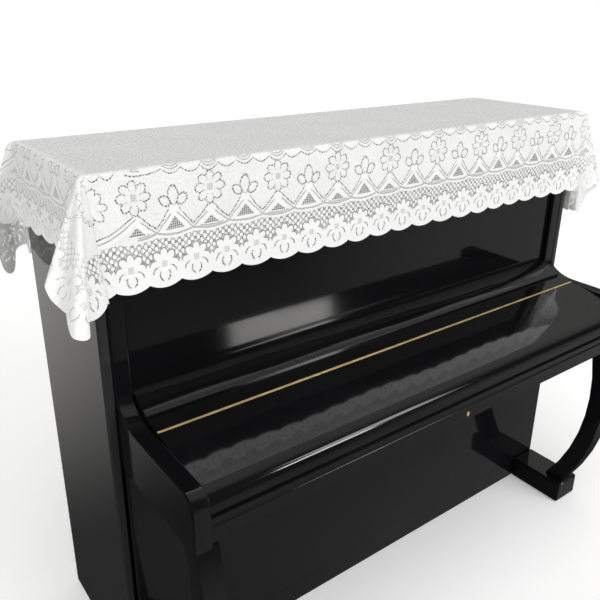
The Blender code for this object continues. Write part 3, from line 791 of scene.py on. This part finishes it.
def floor_material():
    material, tree, shader = new_material("studio_floor")
    patches = noise_term(tree, object_place(tree), 1.5, 2.0)
    colour = mix_colour(tree, patches, (0.90, 0.90, 0.90), (0.92, 0.92, 0.92))
    tree.links.new(colour, shader.inputs["Base Color"])
    shader.inputs["Roughness"].default_value = 0.7
    shader.inputs["Specular IOR Level"].default_value = 0.1
    shader.inputs["Emission Color"].default_value = (1.0, 1.0, 1.0, 1.0)
    shader.inputs["Emission Strength"].default_value = 0.22
    return material


# ---------------------------------------------------------------- studio
# The camera is the pinhole that was fitted to the photo.
CAMERA_PLACE = (-1.1306, -1.34234, 1.48631)
CAMERA_ANGLES = (68.4295, -0.571, -36.5371)
CAMERA_LENS, CAMERA_SENSOR = 40.898, 36.0
CAMERA_SHIFT_Y = -20.0 / 600.0
FLOOR_HALF, FLOOR_CELLS = 30.0, 4

SUNS = [
    # name,         comes from,           strength, softness, colour
    ("high_light", (-0.25, -0.35, 1.0), 1.46, 60.0, (1.0, 1.0, 1.0)),
    ("front_light", (0.35, -0.85, 0.42), 0.98, 35.0, (0.955, 0.975, 1.0)),
    # Low, from the front and a little left.
    ("left_light", (-0.32, -0.90, 0.22), 0.28, 50.0, (1.0, 0.99, 0.96)),
]

# What the polish mirrors: pale cards far round the object, soft at their rims.
CARDS = [
    # towards,              half wide, half high, rim,  strength
    ((0.520, -0.832, 0.205), 0.076, 0.042, 0.008, 14.5),
    ((0.575, -0.735, 0.360), 0.110, 0.110, 0.040, 5.0),
    ((0.800, -0.520, -0.260), 0.300, 0.300, 0.200, 0.24),
    ((0.560, -0.560, -0.610), 0.450, 0.260, 0.200, 0.15),
    ((-0.260, 0.900, -0.180), 0.350, 0.300, 0.280, 0.72),
    ((0.350, 0.100, 0.900), 0.900, 0.900, 0.500, 0.40),
]
MIRRORED_BASE = 0.03
SOFT_LIGHT, SOFT_LIGHT_TO_RIGHT = 0.365, 0.12
WARM, WHITE = (1.0, 0.985, 0.955), (1.0, 1.0, 1.0)


def make_studio():
    data = bpy.data.cameras.new("camera")
    data.lens = CAMERA_LENS
    data.sensor_width = CAMERA_SENSOR
    data.shift_y = CAMERA_SHIFT_Y
    camera = add_object("camera", data)
    camera.location = CAMERA_PLACE
    camera.rotation_euler = [math.radians(angle) for angle in CAMERA_ANGLES]
    bpy.context.scene.camera = camera

    bm = bmesh.new()
    bmesh.ops.create_grid(bm, x_segments=FLOOR_CELLS, y_segments=FLOOR_CELLS, size=FLOOR_HALF)
    floor = add_mesh_object("studio_floor", bm)
    floor.data.materials.append(floor_material())
    floor.visible_glossy = False
    make_world()
    for sun in SUNS:
        add_sun(*sun)


def make_world():
    """White for the camera, cards for the polish, and a soft light for the rest."""
    world = bpy.data.worlds.new("studio_world")
    bpy.context.scene.world = world
    world.use_nodes = True
    tree = world.node_tree
    path = tree.nodes.new("ShaderNodeLightPath")
    seen = Term(tree, path.outputs["Is Camera Ray"])
    gloss = Term(tree, path.outputs["Is Glossy Ray"])
    outward = tree.nodes.new("ShaderNodeTexCoord").outputs["Generated"]

    def along(axis):
        node = tree.nodes.new("ShaderNodeVectorMath")
        node.operation = "DOT_PRODUCT"
        tree.links.new(outward, node.inputs[0])
        node.inputs[1].default_value = axis
        return Term(tree, node.outputs["Value"])

    def card_light(towards, half_wide, half_high, rim, strength):
        middle = Vector(towards).normalized()
        across = middle.cross(Vector((0.0, 0.0, 1.0))).normalized()
        ahead = along(middle).high(0.001)
        wide = abs(along(across) / ahead).fade(half_wide - rim, half_wide + rim)
        high = abs(along(across.cross(middle)) / ahead).fade(half_high - rim, half_high + rim)
        return wide * high * along(middle).rise(0.05, 0.15) * strength

    lights = [card_light(*card) for card in CARDS]
    mirrored = lights[0]
    for light in lights[1:]:
        mirrored = mirrored.high(light)
    soft_light = along((1.0, 0.0, 0.0)) * SOFT_LIGHT_TO_RIGHT + SOFT_LIGHT
    strength = choose(seen, 1.0, choose(gloss, mirrored + MIRRORED_BASE, soft_light))
    back = tree.nodes["Background"]
    tree.links.new(mix_colour(tree, seen, WARM, WHITE), back.inputs["Color"])
    tree.links.new(strength.socket, back.inputs["Strength"])


def add_sun(name, comes_from, strength, softness, colour):
    """A soft light from the given direction that the polish doesn't mirror."""
    data = bpy.data.lights.new(name, "SUN")
    data.energy = strength
    data.angle = math.radians(softness)
    data.color = colour
    light = add_object(name, data)
    light.rotation_euler = Vector(comes_from).to_track_quat("Z", "Y").to_euler()
    light.visible_glossy = False


# ---------------------------------------------------------------- board edges
SHARP_ANGLE = math.radians(40)
WELD_GAP = 0.00002
EDGE_ROUND = 0.0012


def smooth_group():
    """Smooth shading, broken at edges sharper than 40 degrees."""
    group = bpy.data.node_groups.new("smooth_by_angle", "GeometryNodeTree")
    for in_out in ("INPUT", "OUTPUT"):
        group.interface.new_socket("Geometry", in_out=in_out,
            socket_type="NodeSocketGeometry")
    start = group.nodes.new("NodeGroupInput")
    end = group.nodes.new("NodeGroupOutput")
    angle = group.nodes.new("GeometryNodeInputMeshEdgeAngle")
    test = group.nodes.new("FunctionNodeCompare")
    test.data_type = "FLOAT"
    test.operation = "LESS_THAN"
    test.inputs["B"].default_value = SHARP_ANGLE
    faces = group.nodes.new("GeometryNodeSetShadeSmooth")
    edges = group.nodes.new("GeometryNodeSetShadeSmooth")
    edges.domain = "EDGE"
    group.links.new(angle.outputs["Unsigned Angle"], test.inputs["A"])
    group.links.new(start.outputs[0], faces.inputs["Geometry"])
    group.links.new(faces.outputs["Geometry"], edges.inputs["Geometry"])
    group.links.new(test.outputs["Result"], edges.inputs["Shade Smooth"])
    group.links.new(edges.outputs["Geometry"], end.inputs[0])
    return group


SMOOTH = smooth_group()


def soften_edges(node):
    """A fine round on the board's edges, and even shading over it."""
    weld = node.modifiers.new("weld", "WELD")
    weld.merge_threshold = WELD_GAP
    bevel = node.modifiers.new("edge_round", "BEVEL")
    bevel.width = EDGE_ROUND
    bevel.segments = 2
    bevel.limit_method = "ANGLE"
    bevel.angle_limit = SHARP_ANGLE
    smooth = node.modifiers.new("smooth", "NODES")
    smooth.node_group = SMOOTH
    weighted = node.modifiers.new("weighted", "WEIGHTED_NORMAL")
    weighted.keep_sharp = True


# ---------------------------------------------------------------- the lock's plate
LOCK_X, LOCK_Y, LOCK_Z = 0.0, -0.4875, 0.618
LOCK_HALF_WIDE, LOCK_HALF_HIGH = 0.0040, 0.0065
LOCK_THICK = 0.0012
LOCK_FACE = 0.86                        # the face's share of the plate's size
LOCK_STEPS = 28
EYE_RADIUS, EYE_UP = 0.0014, 0.0010
SLOT_HALF_WIDE, SLOT_DOWN = 0.0007, 0.0038
SLOT_START = -0.35                      # cosine of the angle where eye turns into slot


def lock_rim(angle):
    return LOCK_HALF_WIDE * math.sin(angle), LOCK_HALF_HIGH * math.cos(angle)


def lock_face(angle):
    return (LOCK_HALF_WIDE * LOCK_FACE * math.sin(angle),
        LOCK_HALF_HIGH * LOCK_FACE * math.cos(angle))


def lock_hole(angle):
    """The keyhole's rim: a round eye over a straight slot."""
    side, up = math.sin(angle), math.cos(angle)
    if up > SLOT_START:
        return EYE_RADIUS * side, EYE_UP + EYE_RADIUS * up
    sign = 1.0 if side >= 0 else -1.0
    return SLOT_HALF_WIDE * sign * min(1.0, abs(side) * 4.0), EYE_UP + SLOT_DOWN * up


def lock_ring(bm, outline, depth):
    """Points round the plate's middle, depth thicknesses out from the key bed."""
    ring = []
    for step in range(LOCK_STEPS):
        side, up = outline(2 * math.pi * step / LOCK_STEPS)
        ring.append(bm.verts.new((LOCK_X + side, LOCK_Y - LOCK_THICK * depth, LOCK_Z + up)))
    return ring


def make_lock_plate():
    bm = bmesh.new()
    outlines = ((lock_rim, 0.0), (lock_rim, 0.5), (lock_face, 1.0), (lock_hole, 1.0),
        (lock_hole, 0.0))
    rings = [lock_ring(bm, outline, depth) for outline, depth in outlines]
    for inner, outer in zip(rings, rings[1:] + rings[:1]):
        for step in range(LOCK_STEPS):
            after = (step + 1) % LOCK_STEPS
            bm.faces.new((inner[step], inner[after], outer[after], outer[step]))
    bmesh.ops.recalc_face_normals(bm, faces=bm.faces)
    return add_mesh_object("lock_plate", bm)


# ---------------------------------------------------------------- assembly
cover = make_cover()
cover.data.materials.append(lace_material())
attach(cover, "root")
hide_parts("lace_cover")

POLISH = polish_material("black_polish_finish")
# The side panels get a lighter copy of the polish: painted glare.
SIDE_GLARE_POLISH = polish_material("black_polish_side_painted_glare", SIDE_GLARE_LIFT)
BRASS = brass_material()
FINISHES = {"fallboard_hinge": BRASS, "side_left": SIDE_GLARE_POLISH, "side_right": SIDE_GLARE_POLISH}
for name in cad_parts:
    node = bpy.data.objects.get(name)
    if node is None or name == "lace_cover":
        continue
    soften_edges(node)
    node.data.materials.clear()
    node.data.materials.append(FINISHES.get(name, POLISH))
    if name == "fallboard_hinge":
        node.visible_glossy = False

plate = make_lock_plate()
plate.data.materials.append(BRASS)
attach(plate, "root")

make_studio()
bpy.context.scene.view_settings.view_transform = "Standard"
